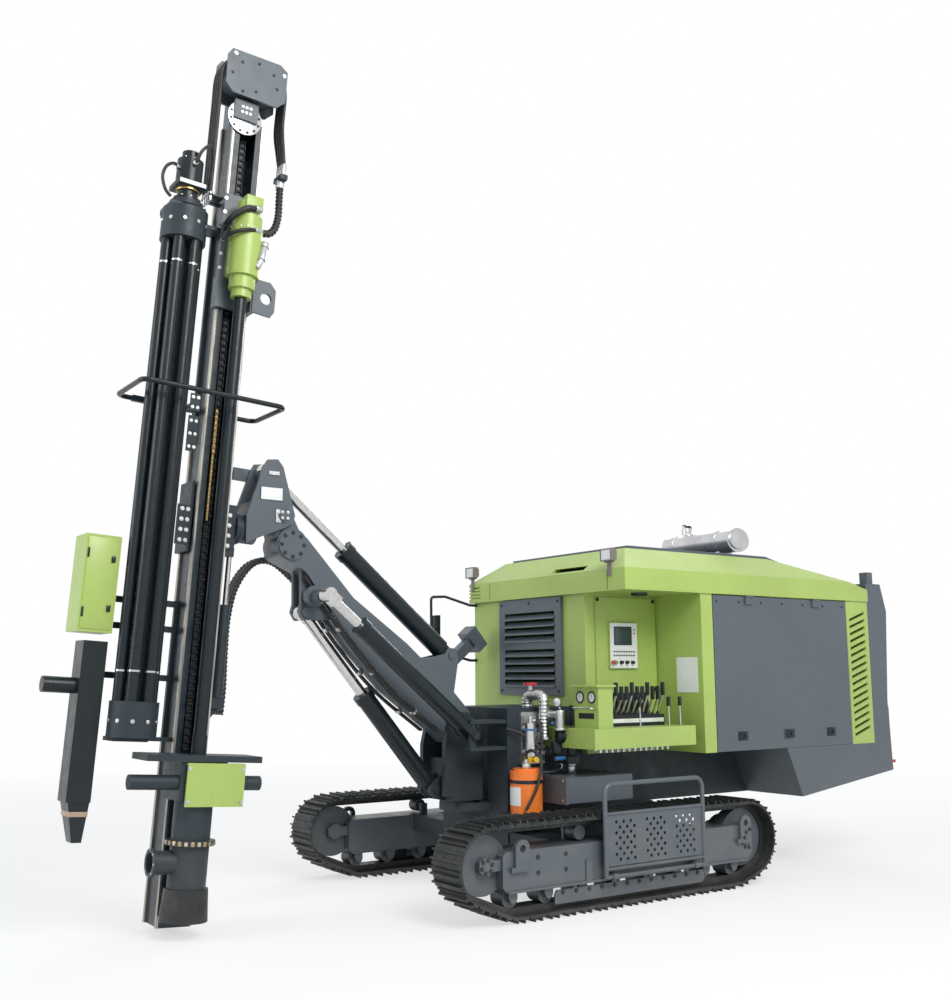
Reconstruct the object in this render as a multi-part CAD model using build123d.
from build123d import *
import os
from math import cos, hypot, pi, radians, sin

# Tracked down-the-hole drill rig. Millimetres, X forwards, Y to the machine's left, Z up from the ground.
# Places along X are counted from the middle of the tracks; all pieces are moved by middle_shift at the end,
# so that the origin is on the ground under the middle of the whole machine.
middle_shift = -199

# Tracks
track_centre_y = 1035
shoe_width = 330
shoe_pitch = 142
shoe_thickness = 14
shoe_gap = 10
grouser_height = 22
grouser_thickness = 12
chain_height = 50
inner_steps = 60
chain_width = 130
sprocket_x = -1184
sprocket_z = 352
sprocket_rim = 214
idler_x = 1258
idler_z = 372
idler_rim = 194
drive_radius = 154
motor_radius = 96
roller_radius = 64
roller_run = 1050
roller_count = 8
top_roller_radius = 50
top_roller_x = 430

# Track frames
beam_back_x = -1225
beam_front_x = 1150
beam_inner_y = 900
beam_outer_y = 1165
beam_bottom_z = 190
beam_top_z = 455
lug_hole_radius = 24
lug_thickness = 30
platform_y = 1224
platform_hinge_z = 220
platform_bar = 14
chain_gap = 0.8
flange_step = 12
rock_guard_half = 710
rock_guard_low_z = 78
rock_guard_high_z = 168

# Centre frame and front frame
centre_half_y = 430
chassis_half_y = 400
frame_wall = 25
belly_front_x = -1876
belly_corner = (-2048, 592)
drain_radius = 20
centre_bottom_z = 330
floor_z = 985
front_frame_x = 560
front_frame_half_y = 430
deck_z = 1350

# Body
body_half_y = 1010
body_front_x = -161
body_back_x = -3040
body_bottom_z = 990
body_side_top_z = 2395
fascia_bottom_z = 2228
fascia_proud = 14
skin = 22
recess_y = 495
recess_x = -921
door_front_x = -1056
door_back_x = -2731
door_thickness = 38
door_gap = 6
vent_front_x = -2752
roof_top_z = 2600
roof_rear_z = 2470
roof_inner_y = 750
roof_front_x = -400
roof_break_x = -2016
roof_back_x = -2569
roof_plate = 26
louvre_low_y = -600
louvre_high_y = 230
louvre_low_z = 1430
louvre_high_z = 2220
louvre_thickness = 30
engine_back_x = -2650
engine_front_x = -1250
engine_half_y = 380
engine_top_z = 1950

roof_overhang = 50
corner_slot_z = 2262
corner_slot_pitch = 30
slope_vent_y = 120
slope_vent_long = 410
vent_back_x = -3018
vent_low_z = 1050
vent_pitch = 62
vent_slots = 17
door_hinge_y = body_half_y + 16
door_hinge_z = 2215
door_hinge_radius = 9
door_hinge_spread = 420
louvre_pitch = 62
louvre_margin = 78
muffler_x = -1800
muffler_z = 2745
muffler_radius = 105
muffler_half_x = 140
rain_pipe = 42
muffler_low_y = -150
muffler_high_y = 640
tray_front_x = 205
tray_low_z = 1060
tray_high_z = 1205
gauge_box_high_z = 1505
gauge_box_y = 715
handle_half = 11
handle_long = 85
tank_coupling_x = 60
tank_coupling_y = 560
canister_x = 510
valve_x = 290
canister_y = 590
canister_radius = 118
extinguisher_y = 860
tail_top_z = 2392
tail_skin = 24
tail_high_corner = (-3261, 1352)
tail_low_corner = (-3288, 746)
lamp_left_y = body_half_y - 151
lamp_right_y = 50 - body_half_y
rest_foot_x = 560
rest_foot_z = 1470
rest_head_x = 90
rest_head_z = 1865
rest_y = -750
rest_post = 90

# Swing post and boom
post_x = 700
post_radius = 105
post_front_x = 943
post_box_x = 880
post_floor_z = 980
post_sweep = 228
jaw_top_z = 650
ring_height = 22
post_half_y = 175
post_cheek = 43
boom_foot_x = 800
boom_foot_z = 1215
boom_half_y = 125
boss_x = 2194
boss_z = 2504
boss_radius = 118
head_pin_x = 2261
head_pin_z = 2707
apex_x = 2346
apex_z = 3030
head_half_y = 128
head_front_x = 2541
head_low_z = 2500
head_cheek = 26
pin_radius = 38

# Boom cylinders
lift_foot_x = 952
lift_foot_z = 759
lift_head_x = 2044
lift_head_z = 2042
lift_barrel_length = 930
lift_barrel_radius = 68
lift_rod_radius = 38
tilt_foot_x = 816
tilt_foot_z = 1746
tilt_barrel_length = 1190
tilt_barrel_radius = 72
tilt_rod_radius = 38
swing_foot_x = 820
swing_foot_z = 1157
swing_side_y = 350
swing_head_x = 2022
swing_head_z = 2149
swing_barrel_length = 1240
swing_barrel_radius = 62
swing_rod_radius = 34
eye_width = 80
eye_radius = 56
joint_gap = 7
pin_gap = 0.4
hose_radius = 22
seat_gap = 0.4
rod_inside = 120
knuckle_half = 84
knuckle_pin = 25
swing_eye_half = 46
swing_drift = 40

# Mast: drawn upright about the drill's axis, then leaned back on its foot
mast_foot_x = 2960
mast_lean = 3.7
mast_foot_z = 40
web_outer = 100
web_thickness = 15
flange_outer = 115
flange_depth = 30
mast_half_y = 125
drill_y = 270
drill_radius = 44
drill_bottom_z = 330
head_bottom_z = 4170
head_top_z = 4870
head_radius = 112
carriage_half_x = 135
carriage_bottom_z = 4120
carriage_top_z = 4960
slide_gap = 0.5
beam_top_end_z = 5560
table_z = 1070
table_thickness = 40
table_half_x = 375
table_front_y = 420
clamp_radius = 46
hood_radius = 120
hood_wall = 10
hood_bottom_z = 300
boot_radius = 150
boot_bottom_z = 105
outlet_radius = 72
outlet_z = 455
carousel_x = 420
carousel_y = 200
carousel_radius = 152
rod_ring_radius = 104
rod_radius = 38
rod_count = 6
rod_bottom_z = 1420
rod_length = 3060
cup_height = 220
holder_low_z = 2420
holder_high_z = 2900
holder_wall = 22
holder_front_y = 68
clamp_rear = 62
clamp_front = 105
slide_zone_low = 2095
slide_zone_high = 3180
feed_face_x = -236
feed_axis_z = 2624
feed_pivot_radius = 95
feed_ram_x = -190
feed_ram_foot_y = -165
feed_ram_foot_z = 3054
feed_ram_head_y = -330
feed_ram_head_z = 2744
feed_ram_length = 200
feed_ram_radius = 32
feed_rod_radius = 16
comp_x = -185
comp_y = 30
comp_radius = 38
comp_rod_radius = 18
comp_foot_z = 1470
comp_top_z = 2090
comp_inside = 290
box_front_x = 660
guard_end_x = 560
feed_rod_x = 12
grip_low_z = 3090
guard_z = 3420
guard_front_y = 450
guard_rear_x = -320
guard_far_x = 660
guard_bend = 60
guard_tube = 17
top_block_low_z = 5700
top_block_high_z = 6040
top_block_half_x = 230
sheave_radius = 125
sheave_z = 5870
sheave_low_y = 6
sheave_high_y = 178
sheave_spread = 105
plate_gap = 10
plate_thick = 16


def block(x0, x1, y0, y1, z0, z1):
    return Pos((x0 + x1) / 2, (y0 + y1) / 2, (z0 + z1) / 2) * Box(x1 - x0, y1 - y0, z1 - z0)


def plate_y(points, y0, y1):
    """A flat outline of X and Z points, between two places along Y."""
    face = make_face(Polyline(*[(x, y0, z) for x, z in points], close=True))
    return extrude(face, amount=y1 - y0, dir=(0, 1, 0))


def plate_x(points, x0, x1):
    """A flat outline of Y and Z points, between two places along X."""
    face = make_face(Polyline(*[(x0, y, z) for y, z in points], close=True))
    return extrude(face, amount=x1 - x0, dir=(1, 0, 0))


def plate_z(points, z0, z1):
    """A flat outline of X and Y points, between two heights."""
    face = make_face(Polyline(*[(x, y, z0) for x, y in points], close=True))
    return extrude(face, amount=z1 - z0, dir=(0, 0, 1))


def round_y(x, z, radius, y0, y1):
    return Pos(x, (y0 + y1) / 2, z) * Rot(90, 0, 0) * Cylinder(radius, y1 - y0)


def round_x(y, z, radius, x0, x1):
    return Pos((x0 + x1) / 2, y, z) * Rot(0, 90, 0) * Cylinder(radius, x1 - x0)


def round_z(x, y, radius, z0, z1):
    return Pos(x, y, (z0 + z1) / 2) * Cylinder(radius, z1 - z0)


def bar(start, end, radius):
    """A round bar between two points."""
    a = Vector(*start)
    b = Vector(*end)
    plane = Plane(origin=a, z_dir=b - a)
    return plane * Cylinder(radius, (b - a).length, align=(Align.CENTER, Align.CENTER, Align.MIN))


def tube_path(points, radius, bend):
    """A bent tube or hose along a route with rounded corners."""
    route = FilletPolyline(*points, radius=bend)
    start = Plane(origin=route @ 0, z_dir=route % 0)
    return sweep(start * Circle(radius), path=route)


def aim(start, end):
    """A plane at the start that looks at the end, its X across the machine."""
    along = Vector(*end) - Vector(*start)
    return Plane(origin=Vector(*start), z_dir=along, x_dir=(0, 1, 0)), along.length


def joined(pieces):
    whole = pieces[0]
    for piece in pieces[1:]:
        whole = whole + piece
    return whole


def both_sides(shape):
    return shape + mirror(shape, about=Plane.XZ)


def on_mast(shape):
    return Pos(mast_foot_x, 0, 0) * Rot(0, -mast_lean, 0) * shape


def mast_point(x, y, z):
    """The place of a mast point once the mast leans."""
    lean = radians(mast_lean)
    return (mast_foot_x + x * cos(lean) - z * sin(lean), y, x * sin(lean) + z * cos(lean))


# Tracks


def rollers_line():
    return chain_height + shoe_thickness + grouser_height + roller_radius


def belt_wheels():
    low = rollers_line()
    return [
        (sprocket_x, sprocket_z, sprocket_rim),
        (-roller_run, low, roller_radius),
        (roller_run, low, roller_radius),
        (idler_x, idler_z, idler_rim),
    ]


def belt_path(grow, steps):
    """Points of a belt that runs grow outside the wheels' rims."""
    points = []
    for step in range(steps):
        angle = 2 * pi * (step + 0.5) / steps
        nx = cos(angle)
        nz = sin(angle)
        x, z, rim = max(belt_wheels(), key=lambda wheel: wheel[0] * nx + wheel[1] * nz + wheel[2])
        points.append((x + (rim + grow) * nx, z + (rim + grow) * nz))
    return points


def belt_walk(points, distances):
    """The places at the given distances along a closed belt."""
    found = []
    laps = []
    total = 0
    for index, start in enumerate(points):
        end = points[(index + 1) % len(points)]
        length = hypot(end[0] - start[0], end[1] - start[1])
        laps.append((total, length, start, end))
        total += length
    for distance in distances:
        wanted = distance % total
        for begin, length, start, end in laps:
            if begin <= wanted <= begin + length and length > 0:
                share = (wanted - begin) / length
                found.append((start[0] + share * (end[0] - start[0]), start[1] + share * (end[1] - start[1])))
                break
    return found, total


def track():
    """One track on the left side: a ring of shoes with grousers on a narrower ring of links."""
    base = belt_path(chain_height, 180)
    length = belt_walk(base, [])[1]
    count = round(length / shoe_pitch)
    pitch = length / count
    ends = []
    for index in range(count):
        ends += [index * pitch + shoe_gap / 2, (index + 1) * pitch - shoe_gap / 2]
    places = belt_walk(base, ends)[0]
    outline = []
    for index in range(count):
        a = places[2 * index]
        b = places[2 * index + 1]
        long = hypot(b[0] - a[0], b[1] - a[1])
        tx = (b[0] - a[0]) / long
        tz = (b[1] - a[1]) / long
        nx = tz
        nz = -tx
        steps = [(0, 0), (0, shoe_thickness)]
        for share in (0.28, 0.72):
            steps += [(share * long - grouser_thickness / 2, shoe_thickness)]
            steps += [(share * long - grouser_thickness / 2, shoe_thickness + grouser_height)]
            steps += [(share * long + grouser_thickness / 2, shoe_thickness + grouser_height)]
            steps += [(share * long + grouser_thickness / 2, shoe_thickness)]
        steps += [(long, shoe_thickness), (long, 0)]
        for along, out in steps:
            outline.append((a[0] + along * tx + out * nx, a[1] + along * tz + out * nz))
    y0 = track_centre_y - shoe_width / 2
    y1 = track_centre_y + shoe_width / 2
    shoes = plate_y(outline, y0, y1) - plate_y(belt_path(chain_height - 9, inner_steps), y0 - 1, y1 + 1)
    chain_low = track_centre_y - chain_width / 2
    chain_high = track_centre_y + chain_width / 2
    links = plate_y(belt_path(chain_height - 5, inner_steps), chain_low, chain_high)
    links -= plate_y(belt_path(chain_gap, inner_steps), chain_low - 1, chain_high + 1)
    return shoes + links


def track_frame():
    """Left side beam with its sprocket, idler, rollers and lifting lugs."""
    low = rollers_line()
    profile = [
        (beam_back_x, beam_bottom_z + 60),
        (beam_back_x + 60, beam_bottom_z),
        (beam_front_x - 40, beam_bottom_z),
        (beam_front_x, beam_bottom_z + 40),
        (beam_front_x, beam_top_z - 25),
        (beam_front_x - 25, beam_top_z),
        (beam_back_x + 25, beam_top_z),
        (beam_back_x, beam_top_z - 25),
    ]
    beam = plate_y(profile, beam_inner_y, beam_outer_y)
    chain_low = track_centre_y - chain_width / 2
    chain_high = track_centre_y + chain_width / 2
    wheel_low = chain_low + 15
    wheel_high = chain_high - 15
    pieces = [beam]
    pieces.append(round_y(sprocket_x, sprocket_z, sprocket_rim, wheel_low, wheel_high))
    pieces.append(round_y(sprocket_x, sprocket_z, drive_radius, beam_inner_y - 30, chain_low))
    pieces.append(round_y(sprocket_x, sprocket_z, motor_radius, beam_inner_y - 130, beam_inner_y - 20))
    pieces.append(round_y(idler_x, idler_z, idler_rim, wheel_low, wheel_high))
    pieces.append(round_y(idler_x, idler_z, idler_rim * 0.3, chain_low - 40, chain_high + 40))
    for index in range(roller_count):
        x = -roller_run + 2 * roller_run * index / (roller_count - 1)
        pieces.append(round_y(x, low, roller_radius, chain_low, chain_high))
        pieces.append(round_y(x, low, roller_radius * 0.45, beam_inner_y + 20, beam_outer_y - 25))
        pieces.append(block(x - 35, x + 35, beam_inner_y + 20, beam_inner_y + 45, low, beam_bottom_z + 10))
        pieces.append(block(x - 35, x + 35, beam_outer_y - 50, beam_outer_y - 25, low, beam_bottom_z + 10))
    top_z = sprocket_z + sprocket_rim - top_roller_radius
    for x in (-top_roller_x, top_roller_x):
        pieces.append(round_y(x, top_z, top_roller_radius, wheel_low, wheel_high))
        pieces.append(round_y(x, top_z, top_roller_radius * 0.4, beam_inner_y + 30, wheel_high))
        pieces.append(block(x - 30, x + 30, beam_inner_y + 20, beam_inner_y + 50, beam_top_z - 5, top_z + 20))
    for x in (-560, 235):
        arm = block(x - 25, x + 25, beam_outer_y - 5, platform_y - 6, platform_hinge_z - 21, platform_hinge_z + 21)
        arm += round_x(platform_y, platform_hinge_z, platform_bar + 7, x - 25, x + 25)
        arm -= round_x(platform_y, platform_hinge_z, platform_bar + pin_gap, x - 26, x + 26)
        pieces.append(arm)
    pieces.append(block(beam_back_x + 60, beam_front_x - 40, beam_outer_y - 5, beam_outer_y + flange_step,
                        beam_bottom_z, beam_bottom_z + 16))
    half = rock_guard_half
    low_z, high_z = rock_guard_low_z, rock_guard_high_z
    guard = plate_y([(-half, low_z + 25), (-half + 20, low_z), (half, low_z), (half, high_z - 30), (half - 20, high_z),
                     (-half + 20, high_z), (-half, high_z - 25)], beam_outer_y - 27, beam_outer_y - 13)
    for index in range(4):
        x = half * (index - 1.5) / 2
        guard += block(x - 18, x + 18, beam_outer_y - 27, beam_outer_y - 13, high_z - 5, beam_bottom_z + 5)
    pieces.append(guard)
    pieces.append(block(400, 450, beam_outer_y - 5, beam_outer_y + 10, beam_bottom_z + 12, beam_bottom_z + 155))
    for y in (chain_low - 40, chain_high + 10):
        pieces.append(block(beam_front_x - 60, idler_x + 60, y, y + 30, idler_z - 35, idler_z + 35))
    for x in (beam_front_x - 142, beam_back_x + 92):
        lug = block(x - 58, x + 58, beam_outer_y, beam_outer_y + lug_thickness, beam_top_z - 130, beam_top_z + 20)
        lug += block(x - 58, x + 90, beam_outer_y, beam_outer_y + lug_thickness, beam_top_z - 130, beam_top_z - 100)
        lug += round_y(x, beam_top_z + 15, 58, beam_outer_y, beam_outer_y + lug_thickness)
        lug -= round_y(x, beam_top_z + 15, lug_hole_radius, beam_outer_y - 1, beam_outer_y + lug_thickness + 1)
        pieces.append(lug)
    return joined(pieces)


def step_platform():
    """Perforated fold-up platform in a tube hoop, at the left track frame."""
    x0, x1 = -640, 315
    y = platform_y
    z0, z1 = 215, 840
    hoop = tube_path([(x0, y, z0), (x0, y, z1), (x1, y, z1), (x1, y, z0)], 17, 70)
    hoop += bar((x0, y, platform_hinge_z), (x1, y, platform_hinge_z), platform_bar)
    hoop += bar((x0, y, 640), (x1, y, 640), 12)
    hoop += bar((x0, y, 272), (x1, y, 272), 12)
    panel_holes = []
    for field in range(3):
        fx = x0 + 60 + field * 292
        for column in range(6):
            for row in range(8):
                if (column + row) % 2 == 0:
                    panel_holes.append(round_y(fx + 40 + column * 34, 330 + row * 36, 12, y - 20, y + 20))
    panel = block(x0, x1, y - 4, y + 2, 290, 645)
    panel -= Compound(panel_holes)
    return hoop + panel


def centre_frame():
    """Hollow frame between the tracks, chassis beams below the body and the front frame."""
    low = jaw_top_z - 60
    body = block(-900, front_frame_x, -centre_half_y, centre_half_y, centre_bottom_z, low)
    for x in (-700, 430):
        body += block(x - 120, x + 120, -beam_inner_y, beam_inner_y, centre_bottom_z, beam_top_z)
    body += plate_y([(belly_front_x, body_bottom_z), (front_frame_x, body_bottom_z), (front_frame_x, low),
                     (belly_corner[0], low)], -chassis_half_y, chassis_half_y)
    front = block(-200, front_frame_x, -front_frame_half_y, front_frame_half_y, low, deck_z)
    front -= block(-201, body_front_x, -front_frame_half_y - 1, front_frame_half_y + 1, body_bottom_z, deck_z + 1)
    body += front
    body -= round_z(post_x, 0, post_sweep, jaw_top_z, deck_z + 1)
    wall = frame_wall
    body -= block(-900 + wall, front_frame_x - wall, -centre_half_y + wall, centre_half_y - wall, centre_bottom_z + wall, low - wall)
    body -= block(-1850, -200 - wall, -chassis_half_y + wall, chassis_half_y - wall, low + wall, body_bottom_z - wall)
    body -= block(-200 + wall, post_x - post_sweep - wall, -front_frame_half_y + wall, front_frame_half_y - wall,
                  low + wall, body_bottom_z - wall)
    body -= block(body_front_x + wall, post_x - post_sweep - wall, -front_frame_half_y + wall,
                  front_frame_half_y - wall, body_bottom_z - wall - 1, deck_z - wall)
    for x in (-500, 200):
        body -= round_z(x, 0, drain_radius, centre_bottom_z - 1, low + wall + 1)
    body -= round_z(-1200, 0, drain_radius, low - 1, low + wall + 1)
    body += block(canister_x - 160, canister_x + 160, front_frame_half_y - 5, canister_y + 150, 575, 600)
    return body


def swing_jaw():
    """Bearing housing of the swing post, on the front frame."""
    low = jaw_top_z - 60 + seat_gap
    back = front_frame_x + seat_gap
    jaw = plate_z([(back, -post_radius - 120), (post_x, -post_radius - 70), (post_x + 110, -110), (post_x + 130, 0),
                   (post_x + 110, 110), (post_x, post_radius + 70), (back, post_radius + 120)], low, jaw_top_z)
    return jaw + round_z(post_x, 0, post_radius + 45, jaw_top_z, jaw_top_z + ring_height)


def tail_frame():
    """Grey rear end: the tail cover behind the body and the belly plate below it, both hollow."""
    profile = [(belly_front_x, body_bottom_z), (body_back_x, body_bottom_z), (body_back_x, tail_top_z),
               (-3246, tail_top_z), (-3319, 2149), tail_high_corner, tail_low_corner, belly_corner]
    wall = tail_skin
    inside = [(belly_front_x - 1.1 * wall, body_bottom_z + 1), (body_back_x + 1, body_bottom_z + 1),
              (body_back_x + 1, tail_top_z - wall), (-3246 + wall, tail_top_z - wall), (-3319 + wall, 2149),
              (tail_high_corner[0] + wall, tail_high_corner[1]),
              (tail_low_corner[0] + wall, tail_low_corner[1] + wall),
              (belly_corner[0] - wall / 2, belly_corner[1] + wall)]
    body = plate_y(profile, -body_half_y, body_half_y)
    body -= plate_y(inside, -body_half_y + wall, body_half_y - wall)
    return body + block(-3200, -3120, body_half_y - 120, body_half_y - 40, tail_top_z - 1, tail_top_z + 108)


def body_shell():
    """Green hollow body with the operator's recess at its left front corner and open side doorways."""
    top = fascia_bottom_z
    shell = block(body_back_x, body_front_x, -body_half_y, body_half_y, body_bottom_z, top)
    shell -= block(body_back_x + skin, body_front_x - skin, -body_half_y + skin, body_half_y - skin,
                   body_bottom_z + skin, top + 5)
    shell += block(recess_x - skin, body_front_x, recess_y - skin, body_half_y, body_bottom_z, top)
    shell -= block(recess_x, body_front_x + 5, recess_y, body_half_y + 5, body_bottom_z - 5, top + 5)
    for side in (-1, 1):
        y0 = min(side * (body_half_y - skin - 1), side * (body_half_y + 1))
        y1 = max(side * (body_half_y - skin - 1), side * (body_half_y + 1))
        frame_low = min(side * (body_half_y - door_thickness - 24), side * (body_half_y - skin))
        frame_high = max(side * (body_half_y - door_thickness - 24), side * (body_half_y - skin))
        shell += block(door_back_x - 20, door_front_x + 20, frame_low, frame_high, body_bottom_z, top)
        rebate_low = min(side * (body_half_y - door_thickness), side * (body_half_y + 1))
        rebate_high = max(side * (body_half_y - door_thickness), side * (body_half_y + 1))
        shell -= block(door_back_x - door_gap, door_front_x + door_gap, rebate_low, rebate_high,
                       body_bottom_z - 1, top + 1)
        shell -= block(door_back_x + 40, door_front_x - 40, frame_low - 30, frame_high + 30,
                       body_bottom_z + 60, top - 60)
        slots = []
        for index in range(vent_slots):
            z = vent_low_z + index * vent_pitch
            cut = plate_y([(vent_front_x - 25, z), (vent_front_x - 25, z + 26), (vent_back_x + 25, z + 96),
                           (vent_back_x + 25, z + 70)], y0, y1)
            slots.append(cut)
        shell -= Compound(slots)
    shell -= block(body_front_x - skin - 1, body_front_x + 1, louvre_low_y + 40, louvre_high_y - 40,
                   louvre_low_z + 40, louvre_high_z - 40)
    return shell


def roof_shell():
    """Green fascia band with sloped roof sides, hollow below."""
    proud = body_half_y + fascia_proud
    front = body_front_x + roof_overhang
    z = body_side_top_z
    band = block(body_back_x, front, -proud, proud, fascia_bottom_z, z)
    low = Rectangle(front - body_back_x, 2 * proud)
    low = Pos((front + body_back_x) / 2, 0, z) * low
    high = Pos((roof_front_x + roof_back_x) / 2, 0, roof_top_z - roof_plate) * Rectangle(
        roof_front_x - roof_back_x + 120, 2 * roof_inner_y + 60)
    slope = loft([low, high])
    fall = (roof_top_z - roof_rear_z) / (roof_break_x - roof_back_x)
    drop = plate_y([(roof_break_x, roof_top_z - roof_plate),
                    (roof_back_x - 700, roof_rear_z - roof_plate - 700 * fall),
                    (roof_back_x - 700, roof_top_z + 200), (roof_break_x, roof_top_z + 200)], -1200, 1200)
    whole = band + slope - drop
    hollow = block(body_back_x + skin, recess_x - skin, -body_half_y + skin, body_half_y - skin,
                   fascia_bottom_z - 1, z - skin)
    hollow += block(recess_x - skin - 1, body_front_x - skin, -body_half_y + skin, recess_y - skin,
                    fascia_bottom_z - 1, z - skin)
    hollow += block(recess_x - skin - 1, body_front_x, recess_y - skin - 1, body_half_y - skin,
                    fascia_bottom_z + skin, z - skin)
    attic_low = Pos((front + body_back_x) / 2, 0, z - skin - 1) * Rectangle(
        front - body_back_x - 4 * skin, 2 * proud - 4 * skin)
    attic_high = Pos((roof_front_x + roof_back_x) / 2, 0, roof_top_z - roof_plate - skin) * Rectangle(
        roof_front_x - roof_back_x + 120 - 2 * skin, 2 * roof_inner_y + 60 - 2 * skin)
    attic = loft([attic_low, attic_high]) - Pos(0, 0, -skin) * drop
    slots = []
    for index in range(4):
        low_z = corner_slot_z + index * corner_slot_pitch
        slots.append(block(front - 16, front + 1, -proud - 1, -proud + 170, low_z, low_z + 12))
    vent = block(-250, -100, slope_vent_y, slope_vent_y + slope_vent_long, z + 14, z + 50)
    return whole - hollow - attic - Compound(slots) - vent


def roof_cover():
    """Dark raised roof plate that falls away at its rear."""
    top = plate_y([(roof_front_x, roof_top_z), (roof_break_x, roof_top_z), (roof_back_x, roof_rear_z),
                   (roof_back_x, roof_rear_z - roof_plate), (roof_break_x, roof_top_z - roof_plate),
                   (roof_front_x, roof_top_z - roof_plate)], -roof_inner_y, roof_inner_y)
    return top


def side_door():
    """Left side door, hinged along its top edge, with its hinge barrels and latch."""
    y0 = body_half_y - door_thickness + 0.5
    y1 = body_half_y + 2
    z0 = body_bottom_z + 2
    z1 = fascia_bottom_z - 10
    door = block(door_back_x, door_front_x, y0, y1, z0, z1)
    door -= block(door_back_x + 30, door_front_x - 30, y0 - 1, y1 - 10, z0 + 70, z1 - 70)
    middle = (door_back_x + door_front_x) / 2
    for x in (middle - door_hinge_spread, middle + door_hinge_spread):
        door += round_x(door_hinge_y, door_hinge_z, door_hinge_radius, x - 45, x + 45)
        door += block(x - 45, x + 45, y1 - 6, door_hinge_y + 2, door_hinge_z - 60, door_hinge_z)
    door += Pos(middle - 5, y1, z0 + 112) * Box(105, 14, 80)
    return door


def engine():
    block_low = block(engine_back_x, engine_front_x, -engine_half_y, engine_half_y, body_bottom_z + skin, 1300)
    upper = block(engine_back_x + 120, engine_front_x - 80, -engine_half_y + 60, engine_half_y - 60, 1300, engine_top_z)
    return block_low + upper


def louvre_panel():
    """Dark cooling-air panel with two fields of sloped slats, at the body's front."""
    x0 = body_front_x
    x1 = body_front_x + louvre_thickness
    y0, y1 = louvre_low_y + louvre_margin, louvre_high_y - louvre_margin
    panel = block(x0, x1, louvre_low_y, louvre_high_y, louvre_low_z, louvre_high_z)
    cuts = []
    slats = []
    for low, count in ((louvre_low_z + 63, 5), (louvre_low_z + 430, 4)):
        high = low + count * louvre_pitch
        cuts.append(block(x0 - 1, x1 + 1, y0, y1, low, high))
        for index in range(count):
            z = low + index * louvre_pitch
            slats.append(plate_y([(x0 + 2, z + 40), (x0 + 2, z + 46), (x1 + 10, z + 14), (x1 + 14, z + 2), (x1 + 8, z + 2),
                                  (x1 + 6, z + 9)], y0, y1))
    return joined([panel - Compound(cuts)] + slats)


def oval_y(x, z, half_x, half_z, y0, y1):
    face = Plane(origin=(x, y0, z), x_dir=(1, 0, 0), z_dir=(0, 1, 0)) * Ellipse(half_x, half_z)
    return extrude(face, amount=y1 - y0, dir=(0, 1, 0))


def muffler():
    """Oval silencer lying across the roof in two bands, with its rain-capped outlet."""
    body = oval_y(muffler_x, muffler_z, muffler_half_x, muffler_radius, muffler_low_y, muffler_high_y)
    body += oval_y(muffler_x, muffler_z, muffler_half_x - 30, muffler_radius - 25, muffler_low_y - 14, muffler_high_y + 14)
    for y in (muffler_low_y + 90, muffler_high_y - 190):
        body += oval_y(muffler_x, muffler_z, muffler_half_x + 6, muffler_radius + 6, y, y + 40)
        body += block(muffler_x - 80, muffler_x + 80, y, y + 40, roof_top_z + seat_gap, muffler_z)
    y = muffler_low_y + 180
    top = muffler_z + muffler_radius + 60
    body += round_z(muffler_x, y, rain_pipe, muffler_z, top)
    body -= round_z(muffler_x, y, rain_pipe - 5, top - 60, top + 1)
    body += Pos(muffler_x - rain_pipe, y, top) * Rot(0, -18, 0) * Pos(rain_pipe, 0, 4) * Cylinder(rain_pipe + 6, 6)
    return body + block(muffler_x - rain_pipe - 16, muffler_x - rain_pipe + 6, y - 12, y + 12, top - 30, top + 8)


def work_lamp():
    """Square work lamp with a rimmed face and cooling ribs, on a bracket at the fascia's front."""
    x = body_front_x + roof_overhang
    z = body_side_top_z
    lamp = block(x - 8, x + 45, -62, 62, z + 55, z + 150)
    lamp -= block(x + 39, x + 46, -54, 54, z + 63, z + 142)
    for index in range(7):
        y = -51 + index * 17
        lamp += block(x - 25, x - 7, y - 3, y + 3, z + 68, z + 138)
    lamp += block(x, x + 12, -18, 18, z - 60, z + 60)
    return lamp + block(x - 8, x + 20, -40, 40, z + 44, z + 57)


def control_tray():
    """Green tray of the operator's levers, and the gauge box at its front end."""
    x0, x1 = -820, tray_front_x
    tray = block(x0, x1, recess_y, body_half_y, tray_low_z, tray_high_z)
    tray += block(body_front_x, x1, front_frame_half_y, recess_y, tray_low_z, tray_high_z)
    tray -= block(x0 + 16, x1 - 16, recess_y + 16, body_half_y - 16, tray_low_z - 1, tray_high_z - 16)
    box = block(x1 - 200, x1 - 60, gauge_box_y, gauge_box_y + 270, tray_high_z, gauge_box_high_z)
    box += block(x1 - 215, x1 - 30, gauge_box_y - 18, gauge_box_y + 290, gauge_box_high_z, gauge_box_high_z + 14)
    return tray + box


def control_levers():
    """Row of lever valves on the tray."""
    bank = block(-700, tray_front_x - 230, recess_y + 60, recess_y + 300, tray_high_z, tray_high_z + 85)
    pieces = [bank]
    count = 12
    first = -660
    pitch = (tray_front_x - 270 - first) / (count - 1)
    for index in range(count):
        x = first + index * pitch
        foot = (x, recess_y + 260, tray_high_z + 80)
        head = (x, recess_y + 330, tray_high_z + 215 + 30 * (index % 3 == 0))
        pieces.append(bar(foot, head, 6))
        pieces.append(block(x - handle_half, x + handle_half, head[1] - 12, head[1] + 12, head[2] - 15, head[2] + handle_long))
    return joined(pieces)


def control_cover():
    """Hinged-looking cover on the recess wall with the control panel."""
    cover = block(-905, -262, recess_y, recess_y + 14, 1455, 2205)
    cover += block(-683, -387, recess_y + 14, recess_y + 34, 1642, 2005)
    return cover


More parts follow.
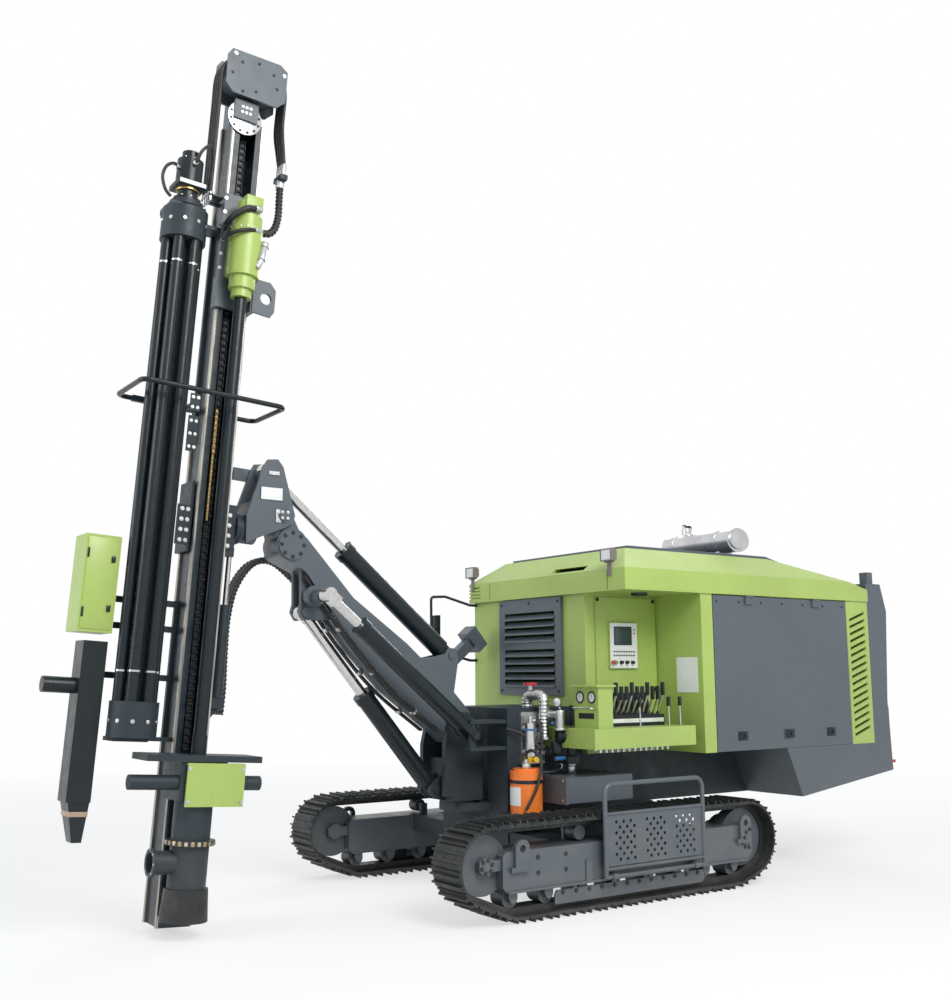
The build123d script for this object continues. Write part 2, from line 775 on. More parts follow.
def mirror_set():
    """Mirror on a bent tube at the body's right front edge."""
    x = body_front_x
    y = -body_half_y + 25
    out_y = -body_half_y - 120
    tube = tube_path([(x, y, 2210), (x + 70, y, 2210), (x + 240, out_y, 2290), (x + 390, out_y, 2282), (x + 385, out_y, 1830),
                      (x + 300, out_y, 1800), (x + 70, y, 1724), (x, y, 1724)], 12, 30)
    glass = block(x + 330, x + 360, out_y - 60, out_y + 60, 1850, 2120)
    arm = block(x + 355, x + 392, out_y - 12, out_y + 12, 1960, 2000)
    return tube + glass + arm


def mast_rest():
    """Slanted square post with a padded box head that carries the lowered mast, on an arm from the front frame."""
    plane, length = aim((rest_foot_x, rest_y, rest_foot_z), (rest_head_x, rest_y, rest_head_z))
    post = plane * (Pos(0, 0, -60) * Box(rest_post, rest_post, length + 60, align=(Align.CENTER, Align.CENTER, Align.MIN)))
    cap = plane * (Pos(0, 0, length) * Box(150, 200, 110, align=(Align.CENTER, Align.CENTER, Align.MIN)))
    root = -front_frame_half_y - seat_gap
    low = deck_z - 40
    arm = block(rest_foot_x - 160, rest_foot_x - 10, rest_y - 60, root, low, deck_z)
    arm += plate_x([(root, low + 1), (root, low - 170), (root - 60, low - 170), (rest_y + 80, low + 1)],
                   rest_foot_x - 95, rest_foot_x - 75)
    pedestal = block(rest_foot_x - 130, rest_foot_x + 40, rest_y - 60, rest_y + 60, low, rest_foot_z + 10)
    return post + cap + arm + pedestal


def tank():
    """Tank on the left side of the front frame, with its filler coupling and front flange."""
    shape = block(-286, 354, front_frame_half_y, 860, 680, 860)
    shape += block(340, 362, front_frame_half_y, 866, 674, 866)
    shape += round_z(tank_coupling_x, tank_coupling_y, 44, 855, 872)
    shape += round_z(tank_coupling_x, tank_coupling_y, 30, 870, 915)
    shape += round_z(tank_coupling_x, tank_coupling_y, 38, 915, 948)
    return shape + round_z(tank_coupling_x, tank_coupling_y, 34, 948, 985)


def canister():
    body = round_z(canister_x, canister_y, canister_radius, 600 + seat_gap, 905)
    body += round_z(canister_x, canister_y, canister_radius + 4, 818, 846)
    body += round_z(canister_x, canister_y, canister_radius - 22, 900, 922)
    body += round_z(canister_x, canister_y, 30, 920, 948)
    return body


def air_valves():
    """Air line group on the deck's left side: filler pipe, filter and valves."""
    y = front_frame_half_y
    group = block(valve_x - 50, valve_x + 170, y, y + 40, 940, 1320)
    group += round_z(valve_x + 130, y + 100, 42, 1000, 1240)
    group += round_z(valve_x + 130, y + 100, 20, 950, 1290)
    group += bar((valve_x + 130, y + 30, 1200), (valve_x + 130, y + 100, 1200), 22)
    group += bar((valve_x + 130, y + 30, 1030), (valve_x + 130, y + 100, 1030), 22)
    group += tube_path([(valve_x, y - 100, deck_z), (valve_x, y - 100, deck_z + 95),
                        (valve_x, y + 100, deck_z + 95), (valve_x, y + 100, 1120)], 36, 60)
    group += bar((valve_x, y + 30, 1150), (valve_x, y + 100, 1150), 24)
    group += round_z(valve_x, y + 100, 56, 1120, 1136)
    group += round_z(valve_x, y - 60, 18, deck_z + 120, deck_z + 165)
    group += round_z(valve_x, y - 60, 52, deck_z + 165, deck_z + 185)
    group += round_z(valve_x + 130, y + 100, 50, 1186, 1200)
    group += block(valve_x + 100, valve_x + 160, y + 72, y + 128, 955, 1002)
    return group


def tail_rear(z):
    """The tail's rear face at a height, above its lowest corner."""
    low, high = tail_low_corner, tail_high_corner
    return low[0] + (high[0] - low[0]) * (z - low[1]) / (high[1] - low[1])


def extinguishers():
    """Two bottles in a rack behind the body."""
    y0, y1 = extinguisher_y - 190, extinguisher_y + 90
    pieces = []
    for front_x, low, high in ((-3415, 800, 825), (-3320, 1120, 1150)):
        pieces.append(plate_y([(front_x, low), (tail_rear(low) - seat_gap, low), (tail_rear(high) - seat_gap, high),
                               (front_x, high)], y0, y1))
    for y in (extinguisher_y - 110, extinguisher_y + 20):
        pieces.append(round_z(-3350, y, 62, 825, 1290))
        pieces.append(round_z(-3350, y, 20, 1290, 1360))
    return joined(pieces)


def swing_post():
    """Post that swings the boom: a box on a bearing ring, cheeks for the boom's foot and lugs for the lift cylinder."""
    ring_top = jaw_top_z + ring_height + seat_gap
    body = block(post_x - 95, post_box_x, -post_half_y, post_half_y, ring_top, post_floor_z)
    body += round_z(post_x, 0, post_radius + 40, ring_top, ring_top + 60)
    cheek_line = [(post_x - 95, ring_top + 40), (post_front_x, ring_top + 40), (post_front_x, 1075),
                  (boom_foot_x + 100, boom_foot_z + 40), (boom_foot_x + 60, boom_foot_z + 105),
                  (boom_foot_x - 60, boom_foot_z + 105), (post_x - 95, boom_foot_z - 20)]
    inner = boom_half_y + joint_gap
    cheek = plate_y(cheek_line, inner, inner + post_cheek)
    cheek += round_y(boom_foot_x, boom_foot_z, 62, inner, inner + post_cheek + 14)
    body += both_sides(cheek)
    body += round_y(boom_foot_x, boom_foot_z, pin_radius, -inner - 5, inner + 5)
    low = eye_width / 2 + joint_gap
    lug_line = [(post_box_x - 5, lift_foot_z - 85), (lift_foot_x + 20, lift_foot_z - 62),
                (lift_foot_x + 62, lift_foot_z - 20), (lift_foot_x + 62, lift_foot_z + 25),
                (lift_foot_x + 20, lift_foot_z + 62), (post_box_x - 5, lift_foot_z + 110)]
    body += both_sides(plate_y(lug_line, low, low + 26))
    body += round_y(lift_foot_x, lift_foot_z, pin_radius * 0.8, -low - 36, low + 36)
    return body


def boom():
    """Tapered box boom between the swing post's cheeks and the head, with its lugs and swing bracket."""
    outline = [(boom_foot_x - 60, boom_foot_z - 130), (boom_foot_x + 30, boom_foot_z - 125), (908, 1161),
               (1357, 1487), (1640, 1770), (1930, 2120), (2090, 2330), (2290, 2420), (2295, 2500),
               (2160, 2610), (2080, 2560), (1700, 2150), (1250, 1830), (860, 1500), (boom_foot_x - 110, boom_foot_z + 110),
               (boom_foot_x - 130, boom_foot_z)]
    body = plate_y(outline, -boom_half_y, boom_half_y)
    body += round_y(boss_x, boss_z, boss_radius - 12, -boom_half_y - 6, boom_half_y + 16)
    body += round_y(boss_x, boss_z, boss_radius, 0, boom_half_y + 4)
    tongue = head_half_y - head_cheek - joint_gap
    body += plate_y([(2100, 2560), (head_pin_x - 60, head_pin_z + 50), (head_pin_x + 60, head_pin_z + 50),
                     (head_pin_x + 74, head_pin_z), (2290, 2480)], -tongue, tongue)
    body += round_y(head_pin_x, head_pin_z, 76, -tongue, tongue)
    body -= round_y(head_pin_x, head_pin_z, pin_radius + pin_gap, -tongue - 1, tongue + 1)
    body -= round_y(boom_foot_x, boom_foot_z, pin_radius + pin_gap, -boom_half_y - 1, boom_half_y + 1)
    low = eye_width / 2 + joint_gap
    lift_lug = [(1700, 1850), (1860, 1990), (lift_head_x - 40, lift_head_z - 55), (lift_head_x + 30, lift_head_z - 58),
                (lift_head_x + 66, lift_head_z), (lift_head_x + 50, lift_head_z + 60), (2100, 2400), (1900, 2200)]
    lug = plate_y(lift_lug, low, low + 30) + round_y(lift_head_x, lift_head_z, 44, low, low + 42)
    body += both_sides(lug)
    tilt_lug = [(800, 1440), (tilt_foot_x - 62, tilt_foot_z - 30), (tilt_foot_x - 40, tilt_foot_z + 50),
                (tilt_foot_x + 30, tilt_foot_z + 58), (tilt_foot_x + 62, tilt_foot_z + 10), (1150, 1700)]
    lug = plate_y(tilt_lug, low, low + 26)
    body += both_sides(lug)
    body += round_y(tilt_foot_x, tilt_foot_z, pin_radius * 0.8, -low - 36, low + 36)
    bracket_y = swing_side_y - swing_eye_half - swing_drift
    body += round_y(swing_head_x, swing_head_z, 46, boom_half_y - 10, bracket_y)
    body += round_y(swing_head_x, swing_head_z, 75, boom_half_y - 10, boom_half_y + 30)
    return body


def barrel_of(start, end, length, radius, rod, eye_half, hole, eye_radius):
    """Cylinder barrel with its foot eye and the bore that its rod runs in."""
    plane, reach = aim(start, end)
    foot = eye_radius * 1.4
    tube = Pos(0, 0, foot) * Cylinder(radius, length - foot, align=(Align.CENTER, Align.CENTER, Align.MIN))
    tube += Pos(0, 0, length - 60) * Cylinder(radius + 7, 60, align=(Align.CENTER, Align.CENTER, Align.MIN))
    tube += Rot(0, 90, 0) * Cylinder(eye_radius, 2 * eye_half)
    tube += Pos(0, 0, foot / 2) * Box(2 * eye_half, eye_radius * 1.7, foot)
    tube -= Pos(0, 0, foot + 25) * Cylinder(rod + 1, length, align=(Align.CENTER, Align.CENTER, Align.MIN))
    tube -= Rot(0, 90, 0) * Cylinder(hole, 2 * eye_half + 2)
    return plane * tube


def rod_of(start, end, length, radius, inside, eye_half, eye_radius):
    """Cylinder rod that starts inside its barrel and ends in an eye."""
    plane, reach = aim(start, end)
    rod = Pos(0, 0, length - inside) * Cylinder(
        radius, reach - length + inside, align=(Align.CENTER, Align.CENTER, Align.MIN))
    rod += Pos(0, 0, reach) * Rot(0, 90, 0) * Cylinder(eye_radius, 2 * eye_half)
    rod += Pos(0, 0, reach - eye_radius) * Cylinder(radius * 1.15, 36)
    return plane * rod


def lift_ends():
    return (lift_foot_x, 0, lift_foot_z), (lift_head_x, 0, lift_head_z)


def tilt_ends():
    return (tilt_foot_x, 0, tilt_foot_z), (apex_x, 0, apex_z)


def swing_ends():
    return (swing_foot_x, swing_side_y, swing_foot_z), (swing_head_x, swing_side_y, swing_head_z)


def feed_swing_ends():
    foot = mast_point(feed_ram_x, feed_ram_foot_y, feed_ram_foot_z)
    head = mast_point(feed_ram_x, feed_ram_head_y, feed_ram_head_z)
    return foot, head


def swing_lug():
    """Pair of plates on the front frame that hold the swing cylinder's knuckle."""
    pieces = []
    root = front_frame_x + seat_gap
    outline = [(root, swing_side_y - 70), (swing_foot_x - 10, swing_side_y - 48),
               (swing_foot_x + 34, swing_side_y - 26), (swing_foot_x + 34, swing_side_y + 26),
               (swing_foot_x - 10, swing_side_y + 48), (root, swing_side_y + 70)]
    for low in (swing_foot_z - knuckle_half - 26, swing_foot_z + knuckle_half):
        plate = plate_z(outline, low, low + 26)
        plate -= round_z(swing_foot_x, swing_side_y, knuckle_pin + pin_gap, low - 1, low + 27)
        pieces.append(plate)
    return pieces


def swing_knuckle():
    """Cross piece that lets the swing cylinder turn and tip."""
    z = swing_foot_z
    half = knuckle_half - seat_gap
    body = round_z(swing_foot_x, swing_side_y, 30, z - half, z + half)
    body += round_z(swing_foot_x, swing_side_y, knuckle_pin, z - knuckle_half - 34, z + knuckle_half + 34)
    body += round_y(swing_foot_x, z, 20, swing_side_y - 62, swing_side_y + 62)
    return body


def swing_barrel():
    """Swing cylinder barrel with a fork foot on the knuckle."""
    plane, reach = aim(*swing_ends())
    tube = Pos(0, 0, 140) * Cylinder(swing_barrel_radius, swing_barrel_length - 140,
                                     align=(Align.CENTER, Align.CENTER, Align.MIN))
    tube += Pos(0, 0, swing_barrel_length - 55) * Cylinder(
        swing_barrel_radius + 7, 55, align=(Align.CENTER, Align.CENTER, Align.MIN))
    for side in (-1, 1):
        ear = Pos(side * 47, 0, 75) * Box(22, 52, 150)
        ear += Pos(side * 47, 0, 0) * Rot(0, 90, 0) * Cylinder(34, 22)
        ear -= Pos(side * 47, 0, 0) * Rot(0, 90, 0) * Cylinder(20 + pin_gap, 24)
        tube += ear
    tube -= Pos(0, 0, 200) * Cylinder(swing_rod_radius + 1, swing_barrel_length,
                                      align=(Align.CENTER, Align.CENTER, Align.MIN))
    return plane * tube


def swing_rod():
    """Swing cylinder rod with its universal clevis."""
    plane, reach = aim(*swing_ends())
    rod = Pos(0, 0, swing_barrel_length - 180) * Cylinder(
        swing_rod_radius, reach - swing_barrel_length + 180 - 40, align=(Align.CENTER, Align.CENTER, Align.MIN))
    rod += Pos(0, 0, reach) * Rot(0, 90, 0) * Cylinder(48, 2 * swing_eye_half)
    rod += Pos(0, 0, reach - 55) * Box(2 * swing_eye_half, 76, 60)
    return plane * rod


def mast_head():
    """Triangular head plates at the boom's tip with the feed's pivot housing."""
    inner = head_half_y - head_cheek
    line = [(head_pin_x - 84, head_pin_z + 5), (head_pin_x - 70, head_pin_z - 48), (head_pin_x - 15, head_pin_z - 84),
            (head_front_x, head_low_z), (head_front_x, head_low_z + 190), (apex_x + 75, apex_z + 10), (apex_x + 45, apex_z + 62),
            (apex_x - 30, apex_z + 70), (apex_x - 72, apex_z + 20)]
    cheek = plate_y(line, inner, head_half_y)
    body = both_sides(cheek)
    body += plate_y([(head_front_x - 86, head_low_z + 80), (head_front_x, head_low_z + 20),
                     (head_front_x, head_low_z + 190), (head_front_x - 41, head_low_z + 290),
                     (head_front_x - 76, head_low_z + 290)], -inner, inner)
    housing = round_x(0, feed_axis_z, feed_pivot_radius, feed_face_x - 120, feed_face_x - seat_gap)
    body += on_mast(housing)
    body += round_y(head_pin_x, head_pin_z, pin_radius, -head_half_y - 18, head_half_y + 18)
    body += Pos(apex_x, head_half_y + 3, apex_z - 32) * Box(78, 8, 26)
    body += Pos(head_pin_x + 46, head_half_y + 3, head_pin_z - 8) * Box(40, 8, 92)
    body += block(2276, 2444, head_half_y - 1, head_half_y + 5, 2805, 2898)
    body += round_y(head_pin_x, head_pin_z, pin_radius + 12, head_half_y, head_half_y + 10)
    arm = block(-420, feed_ram_x - 36, -head_half_y - 24, -head_half_y, feed_ram_foot_z - 60, feed_ram_foot_z + 30)
    arm += block(feed_ram_x - 60, feed_ram_x - 36, feed_ram_foot_y - 30, -head_half_y, feed_ram_foot_z - 40,
                 feed_ram_foot_z + 30)
    arm += round_x(feed_ram_foot_y, feed_ram_foot_z, 14, feed_ram_x - 40, feed_ram_x + 24)
    body += on_mast(arm)
    return body


def feed_barrel():
    return ram_across(feed_ram_foot_y, feed_ram_foot_z, feed_ram_head_y, feed_ram_head_z)[0]


def feed_rod():
    return ram_across(feed_ram_foot_y, feed_ram_foot_z, feed_ram_head_y, feed_ram_head_z)[1]


def ram_across(y0, z0, y1, z1):
    """Short cylinder across the feed, drawn in the mast's own frame: barrel and rod."""
    plane = Plane(origin=(feed_ram_x, y0, z0), z_dir=(0, y1 - y0, z1 - z0), x_dir=(1, 0, 0))
    reach = hypot(y1 - y0, z1 - z0)
    tube = Pos(0, 0, 22) * Cylinder(feed_ram_radius, feed_ram_length - 22, align=(Align.CENTER, Align.CENTER, Align.MIN))
    tube += Rot(0, 90, 0) * Cylinder(26, 34)
    tube -= Rot(0, 90, 0) * Cylinder(14 + pin_gap, 40)
    tube -= Pos(0, 0, 30) * Cylinder(feed_rod_radius + 1, 400, align=(Align.CENTER, Align.CENTER, Align.MIN))
    rod = Pos(0, 0, feed_ram_length - 82) * Cylinder(
        feed_rod_radius, reach - feed_ram_length + 82, align=(Align.CENTER, Align.CENTER, Align.MIN))
    rod += Pos(0, 0, reach) * Rot(0, 90, 0) * Cylinder(26, 34)
    return on_mast(plane * tube), on_mast(plane * rod)


def feed_holder():
    """Slide that carries the feed beam on the head's pivot."""
    pad = mast_half_y + slide_gap
    side = flange_outer + slide_gap
    outer = side + holder_wall
    z0, z1 = holder_low_z, holder_high_z
    body = block(-outer, -side, -pad - holder_wall, holder_front_y, z0, z1)
    body += block(side, outer, -pad - holder_wall, holder_front_y, z0, z1)
    body += block(-outer, outer, -pad - holder_wall, -pad, z0, z1)
    lip_y = -mast_half_y + flange_depth + slide_gap
    for low, high in ((-side, -web_outer - slide_gap), (web_outer + slide_gap, side)):
        body += block(low, high, lip_y, lip_y + 20, z0, z1)
    body += block(feed_face_x + 36, -outer + 2, -110, 66, feed_axis_z - 150, feed_axis_z + 150)
    body += round_x(0, feed_axis_z, feed_pivot_radius + 10, feed_face_x, feed_face_x + 38)
    for low, high in ((-side - clamp_rear, -side), (side, side + clamp_front)):
        body += block(low, high, holder_front_y - 12, holder_front_y, z0 + 40, z0 + 310)
    body += block(feed_ram_x - 40, -outer + 2, feed_ram_head_y - 34, -100, feed_ram_head_z - 62, feed_ram_head_z - 36)
    for x in (feed_ram_x - 40, feed_ram_x + 26):
        body += block(x, x + 14, feed_ram_head_y - 34, feed_ram_head_y + 34, feed_ram_head_z - 62, feed_ram_head_z + 34)
    body += block(-side - 90, -side - 5, comp_y - 30, comp_y + 30, z0, z0 + 60)
    return on_mast(body)


def compensation_rod():
    return on_mast(round_z(comp_x, comp_y, comp_rod_radius, comp_top_z - comp_inside, holder_low_z))


def compensation_barrel():
    body = round_z(comp_x, comp_y, comp_radius, comp_foot_z, comp_top_z)
    body -= round_z(comp_x, comp_y, comp_rod_radius + 1, comp_foot_z + 25, comp_top_z + 1)
    root = -web_outer - seat_gap
    body += block(comp_x - 42, root, comp_y - 32, comp_y + 32, comp_foot_z - 70, comp_foot_z)
    body += plate_y([(root, comp_foot_z - 70), (comp_x - 20, comp_foot_z - 70), (root, comp_foot_z - 190)],
                    comp_y - 8, comp_y + 8)
    return on_mast(body)


def feed_beam():
    """Feed beam: an open channel with a slide flange at each corner."""
    z0, z1 = mast_foot_z, beam_top_end_z
    web = block(web_outer - web_thickness, web_outer, -mast_half_y, mast_half_y, z0, z1)
    front = block(web_outer - 40, flange_outer, mast_half_y - flange_depth, mast_half_y, z0, z1)
    rear = block(web_outer - 10, flange_outer, -mast_half_y, -mast_half_y + flange_depth, z0, z1)
    side = web + front + rear
    body = side + mirror(side, about=Plane.YZ)
    body += block(-web_outer + 2, web_outer - 2, -mast_half_y, -mast_half_y + web_thickness, z0, z1)
    body += block(-web_outer, web_outer, -mast_half_y, mast_half_y, z0, z0 + 24)
    body += block(-web_outer, web_outer, -mast_half_y, mast_half_y - 25, z1 - 24, z1)
    return on_mast(body)


def feed_chain():
    """Feed chain inside the beam, with its lower and upper wheels."""
    z0, z1 = mast_foot_z + 24, beam_top_end_z - 24
    body = block(-22, 22, 20, 34, z0, z1) + block(-22, 22, -60, -46, z0, z1)
    body += round_x(-13, z0 + 70, 46, -20, 20) + round_x(-13, z1 - 70, 46, -20, 20)
    body += round_z(feed_rod_x, 54, 14, 2640, 3105) + round_z(feed_rod_x, 54, 21, 3105, 3420)
    return on_mast(body)


def top_block():
    """Sheave block at the mast's top, between two bolted side plates."""
    z0, z1 = top_block_low_z, top_block_high_z
    h = top_block_half_x
    outline = [(-h, z1 - 40), (-h + 60, z1), (h - 30, z1 - 10), (h, z1 - 60), (h, z0 + 60), (h - 60, z0),
               (-h + 60, z0), (-h, z0 + 60)]
    near_y = sheave_high_y + plate_gap
    far_y = sheave_low_y - plate_gap
    body = plate_y(outline, near_y, near_y + plate_thick) + plate_y(outline, far_y - plate_thick, far_y)
    body += block(-web_outer, web_outer, -mast_half_y, far_y, beam_top_end_z, z1 - 60)
    for x in (-sheave_spread, sheave_spread):
        body += round_y(x, sheave_z, 26, far_y - 6, near_y + 2)
        body += round_y(x, sheave_z, sheave_radius - 22, sheave_low_y, sheave_high_y)
    body += block(-90, 90, 60, 76, beam_top_end_z, z0 + 10)
    body += block(-90, 90, far_y - 4, 76, z0 - 20, z0 + 6)
    body += round_y(40, 5570, 128, 128, 138)
    body += block(-50, 130, 137, 160, 5545, z0 - 12)
    body += block(-30, 80, 74, 130, 5600, z0 - 12)
    return on_mast(body)


def drill_table():
    """Breakout table at the beam's foot with its centring hole."""
    y0, y1 = mast_half_y, table_front_y
    body = block(-table_half_x, table_half_x, y0, y1, table_z, table_z + table_thickness)
    body += block(-150, 150, y0, y1 - 20, table_z - 240, table_z)
    body -= round_z(0, drill_y, drill_radius + 10, table_z - 300, table_z + 100)
    body += round_x(y1 - 80, table_z - 130, clamp_radius, -400, -149)
    body += round_x(y1 - 80, table_z - 130, clamp_radius, 149, 455)
    return on_mast(body)


def table_guard():
    guard = block(-260, 120, table_front_y, table_front_y + 14, 800, 1062)
    guard += block(-260, 120, table_front_y - 20, table_front_y, 1050, 1064)
    return on_mast(guard)


def dust_hood():
    """Cuttings hood round the bit, with its side outlet."""
    top = table_z - 240
    body = round_z(0, drill_y, hood_radius, hood_bottom_z, top)
    body += round_z(0, drill_y, hood_radius + 34, 560, 590)
    body += round_x(drill_y, outlet_z, outlet_radius, 0, 245)
    body += round_x(drill_y, outlet_z, outlet_radius + 14, 231, 250)
    body += block(-70, 70, mast_half_y, drill_y, 600, 640)
    body -= round_z(0, drill_y, hood_radius - hood_wall, hood_bottom_z - 1, top + 1)
    body -= round_x(drill_y, outlet_z, outlet_radius - 12, 0, 260)
    return on_mast(body)


def hood_boot():
    ring = Pos(0, drill_y, boot_bottom_z) * Cone(boot_radius, boot_radius - 14, hood_bottom_z - boot_bottom_z,
                                                align=(Align.CENTER, Align.CENTER, Align.MIN))
    ring -= round_z(0, drill_y, hood_radius - hood_wall, boot_bottom_z - 1, hood_bottom_z + 1)
    return on_mast(ring)


def rotary_head():
    """Green rotation gearbox and motor over the drill string."""
    y = drill_y
    z0, z1 = head_bottom_z, head_top_z
    body = round_z(0, y, 70, z0, z0 + 60)
    body += round_z(0, y, head_radius - 22, z0 + 60, z0 + 150)
    body += round_z(0, y, head_radius, z0 + 150, z1 - 190)
    body += round_z(0, y, head_radius - 12, z1 - 190, z1 - 110)
    body += round_z(0, y, 78, z1 - 110, z1)
    body += block(-92, 92, mast_half_y + slide_gap + 28, y, z0 + 170, z1 - 210)
    return on_mast(body)


def carriage():
    """Head carriage with slide shoes round the beam's front flanges, and its lifting eye."""
    front = mast_half_y + slide_gap
    side = flange_outer + slide_gap
    z0, z1 = carriage_bottom_z, carriage_top_z
    body = block(-side - 18, side + 18, front, front + 28, z0, z1)
    lip = mast_half_y - flange_depth - slide_gap
    for low in (z0, z1 - 220):
        for sign in (-1, 1):
            a = min(sign * side, sign * (side + 18))
            b = max(sign * side, sign * (side + 18))
            body += block(a, b, lip - 18, front, low, low + 220)
            a = min(sign * (web_outer + slide_gap), sign * side)
            b = max(sign * (web_outer + slide_gap), sign * side)
            body += block(a, b, lip - 18, lip, low, low + 220)
    body += block(-side - 18, -98, front + 28, 212, z0, z0 + 190)
    eye = plate_y([(-108, z0), (-250, z0 - 10), (-275, z0 + 30), (-275, z0 + 190), (-230, z0 + 240), (-108, z0 + 240)],
                  200, 225)
    eye -= round_y(-205, z0 + 115, 42, 199, 226)
    return on_mast(body + eye)


def drill_string():
    body = round_z(0, drill_y, drill_radius, drill_bottom_z + 900, head_bottom_z - seat_gap)
    body += round_z(0, drill_y, drill_radius + 5, drill_bottom_z + 60, drill_bottom_z + 900)
    body += round_z(0, drill_y, drill_radius + 12, drill_bottom_z, drill_bottom_z + 60)
    return on_mast(body)


def carousel():
    """Turning rod magazine: cups and centre tube."""
    x, y = carousel_x, carousel_y
    top = rod_bottom_z + rod_length
    body = round_z(x, y, carousel_radius, top, top + cup_height)
    body += round_z(x, y, carousel_radius, rod_bottom_z - cup_height, rod_bottom_z)
    body += round_z(x, y, 45, rod_bottom_z, top)
    return on_mast(body)


def spare_rods():
    rods = []
    for index in range(rod_count):
        angle = 2 * pi * index / rod_count
        rods.append(round_z(carousel_x + rod_ring_radius * cos(angle), carousel_y + rod_ring_radius * sin(angle),
                            rod_radius, rod_bottom_z, rod_bottom_z + rod_length))
    return on_mast(joined(rods))


def carousel_bracket():
    """Fixed arms from the beam's side to the magazine, its motor and the electric box."""
    x, y = carousel_x, carousel_y
    top = rod_bottom_z + rod_length + cup_height + seat_gap
    bottom = rod_bottom_z - cup_height - seat_gap
    body = plate_z([(web_outer, -90), (x + 60, -90), (x + 130, 60), (x + 130, y + 90), (x - 110, y + 90),
                    (x - 140, 60), (web_outer, 60)], top, top + 26)
    body += round_z(x, y, 112, top + 26, top + 60)
    body += plate_z([(web_outer, -90), (x + 60, -90), (x + 130, 60), (x + 130, y + 60), (x - 90, y + 60),
                     (x - 110, 60), (web_outer, 60)], bottom - 24, bottom)
    for z, reach in ((1560, box_front_x - 60), (1880, box_front_x - 60), (2050, box_front_x - 60), (3400, guard_end_x)):
        body += block(web_outer, reach, -94, -60, z, z + 40)
    for low, high in ((grip_low_z, grip_low_z + 245), (grip_low_z + 280, grip_low_z + 400)):
        body += block(148, 218, 88, 100, low, high)
    body += block(172, 190, 72, 89, grip_low_z + 20, grip_low_z + 385)
    body += block(166, 196, -62, 73, 3404, 3436)
    body += block(web_outer, web_outer + 25, -90, -65, bottom - 20, slide_zone_low)
    body += block(web_outer, web_outer + 25, -90, -65, slide_zone_high, top + 20)
    return on_mast(body)


def carousel_motor():
    x, y = carousel_x, carousel_y
    top = rod_bottom_z + rod_length + cup_height + seat_gap + 60
    body = round_z(x, y, 92, top, top + 30) + round_z(x, y, 66, top + 30, top + 130)
    body += round_z(x, y, 88, top + 120, top + 310) + round_z(x, y, 60, top + 300, top + 370)
    return on_mast(body)


def electric_box():
    return on_mast(block(box_front_x - 60, box_front_x + 160, -60, 180, 1830, 2440))


def dust_housing():
    """Black cuttings housing with a stub pipe and a rubber tail."""
    body = on_mast(block(box_front_x - 60, box_front_x + 90, -60, 120, 800, 1780))
    body += on_mast(round_x(30, 1500, 50, box_front_x + 80, box_front_x + 290))
    tail = on_mast(loft([Plane((box_front_x + 10, 30, 800)) * Rectangle(130, 170),
                         Plane((box_front_x - 10, 30, 560)) * Rectangle(60, 110)]))
    return body + tail


def guard_rail():
    """Tube loop that guards the magazine and the drill string."""
    z = guard_z
    y = guard_front_y
    loop = tube_path([(-web_outer, -70, z), (guard_rear_x, -70, z), (guard_rear_x, y, z), (guard_far_x, y, z),
                      (guard_far_x, -78, z), (guard_end_x, -78, z)], guard_tube, guard_bend)
    return on_mast(loop)


def head_hoses():
    """Hoses from the beam over the top sheaves to the rotary head."""
    hoses = []
    rear = -top_block_half_x - 15
    front = top_block_half_x + 15
    over = sheave_z + sheave_radius + 14
    for index in range(4):
        y = 30 + index * 42
        hoses.append(tube_path([(front, y, 4900), (front, y, over), (rear, y, over), (rear, y, 5050),
                                (-60 + index * 40, drill_y, 5010), (-60 + index * 40, drill_y, head_top_z)], 12, 45))
    return on_mast(joined(hoses))


def boom_hoses():
    """Thick hose bundle that hangs between the boom's tip and the mast."""
    hoses = []
    for index in range(3):
        y = -boom_half_y - 6 - hose_radius - seat_gap - index * (2 * hose_radius + seat_gap)
        hoses.append(tube_path([(1900, y, 2180), (2180, y, 2430), (2420, y, 2330), (2600, y, 1950), (2640, y, 1500),
                                (2700, y, 1330)], hose_radius, 100))
    return joined(hoses)


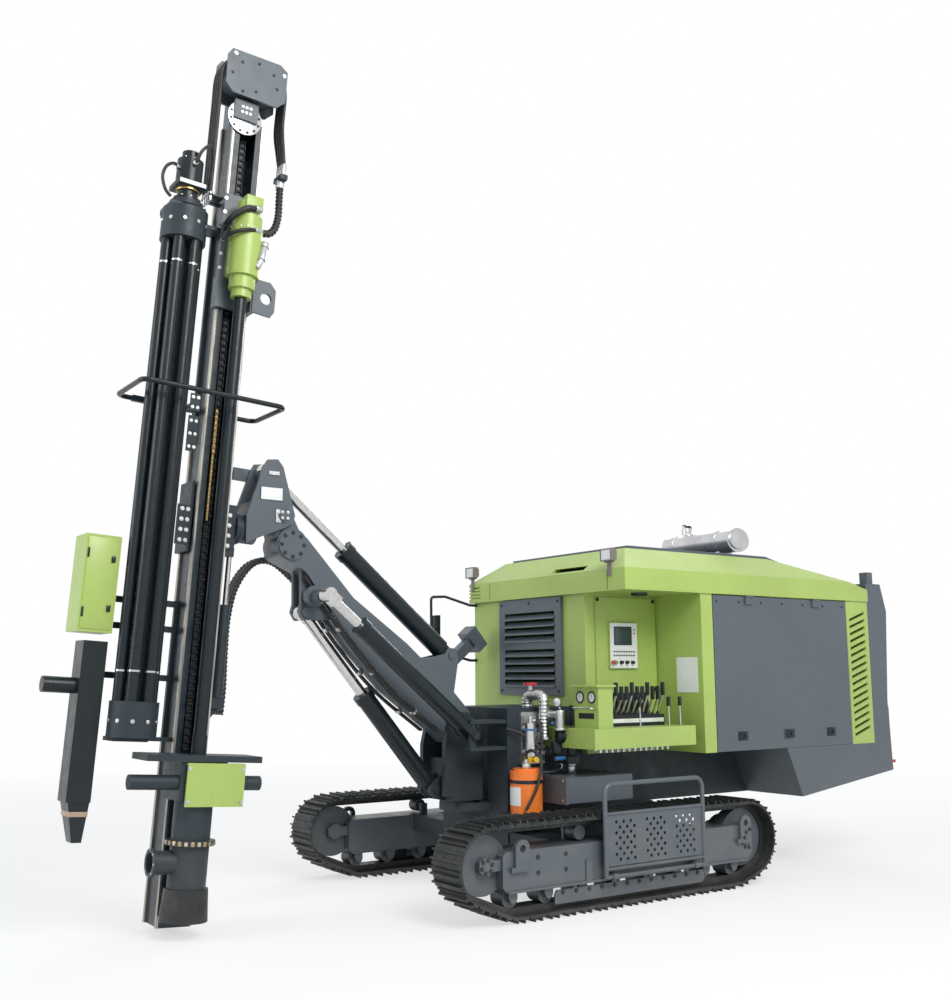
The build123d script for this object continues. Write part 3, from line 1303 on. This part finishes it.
def all_nodes():
    nodes = {}
    left = track()
    nodes["track_left"] = left
    nodes["track_right"] = mirror(left, about=Plane.XZ)
    frame = track_frame()
    nodes["track_frame_left"] = frame
    nodes["track_frame_right"] = mirror(frame, about=Plane.XZ)
    nodes["step_platform"] = step_platform()
    nodes["centre_frame"] = centre_frame()
    nodes["swing_jaw"] = Compound([swing_jaw()] + swing_lug())
    nodes["tail_frame"] = tail_frame()
    nodes["body_shell"] = body_shell()
    nodes["roof_shell"] = roof_shell()
    nodes["roof_cover"] = roof_cover()
    door = side_door()
    nodes["side_door_left"] = door
    nodes["side_door_right"] = mirror(door, about=Plane.XZ)
    nodes["engine_block"] = engine()
    nodes["louvre_panel"] = louvre_panel()
    nodes["muffler"] = muffler()
    lamp = work_lamp()
    nodes["work_lamps"] = Pos(0, lamp_left_y, 0) * lamp + Pos(0, lamp_right_y, 0) * lamp
    nodes["control_tray"] = control_tray()
    nodes["control_levers"] = control_levers()
    nodes["control_cover"] = control_cover()
    nodes["mirror_set"] = mirror_set()
    nodes["mast_rest"] = mast_rest()
    nodes["tank"] = tank()
    nodes["canister"] = canister()
    nodes["air_valves"] = air_valves()
    nodes["extinguishers"] = extinguishers()
    nodes["swing_post"] = swing_post()
    nodes["boom"] = boom()
    nodes["lift_barrel"] = barrel_of(*lift_ends(), lift_barrel_length, lift_barrel_radius, lift_rod_radius,
                                     eye_width / 2, pin_radius * 0.8 + pin_gap, eye_radius)
    nodes["lift_rod"] = rod_of(*lift_ends(), lift_barrel_length, lift_rod_radius, rod_inside, eye_width / 2,
                               eye_radius)
    nodes["tilt_barrel"] = barrel_of(*tilt_ends(), tilt_barrel_length, tilt_barrel_radius, tilt_rod_radius,
                                     eye_width / 2, pin_radius * 0.8 + pin_gap, eye_radius)
    nodes["tilt_rod"] = rod_of(*tilt_ends(), tilt_barrel_length, tilt_rod_radius, rod_inside, eye_width / 2,
                               eye_radius)
    nodes["swing_knuckle"] = swing_knuckle()
    nodes["swing_barrel"] = swing_barrel()
    nodes["swing_rod"] = swing_rod()
    nodes["mast_head"] = mast_head()
    nodes["feed_swing_barrel"] = feed_barrel()
    nodes["feed_swing_rod"] = feed_rod()
    nodes["feed_holder"] = feed_holder()
    nodes["compensation_rod"] = compensation_rod()
    nodes["compensation_barrel"] = compensation_barrel()
    nodes["feed_beam"] = feed_beam()
    nodes["feed_chain"] = feed_chain()
    nodes["top_block"] = top_block()
    nodes["drill_table"] = drill_table()
    nodes["table_guard"] = table_guard()
    nodes["dust_hood"] = dust_hood()
    nodes["hood_boot"] = hood_boot()
    nodes["rotary_head"] = rotary_head()
    nodes["carriage"] = carriage()
    nodes["drill_string"] = drill_string()
    nodes["carousel"] = carousel()
    nodes["spare_rods"] = spare_rods()
    nodes["carousel_bracket"] = carousel_bracket()
    nodes["carousel_motor"] = carousel_motor()
    nodes["electric_box"] = electric_box()
    nodes["dust_housing"] = dust_housing()
    nodes["guard_rail"] = guard_rail()
    nodes["head_hoses"] = head_hoses()
    nodes["boom_hoses"] = boom_hoses()
    return nodes


if __name__ == "__main__":
    os.makedirs("parts", exist_ok=True)
    for name, shape in all_nodes().items():
        export_step(Pos(middle_shift, 0, 0) * shape, "parts/" + name + ".step")
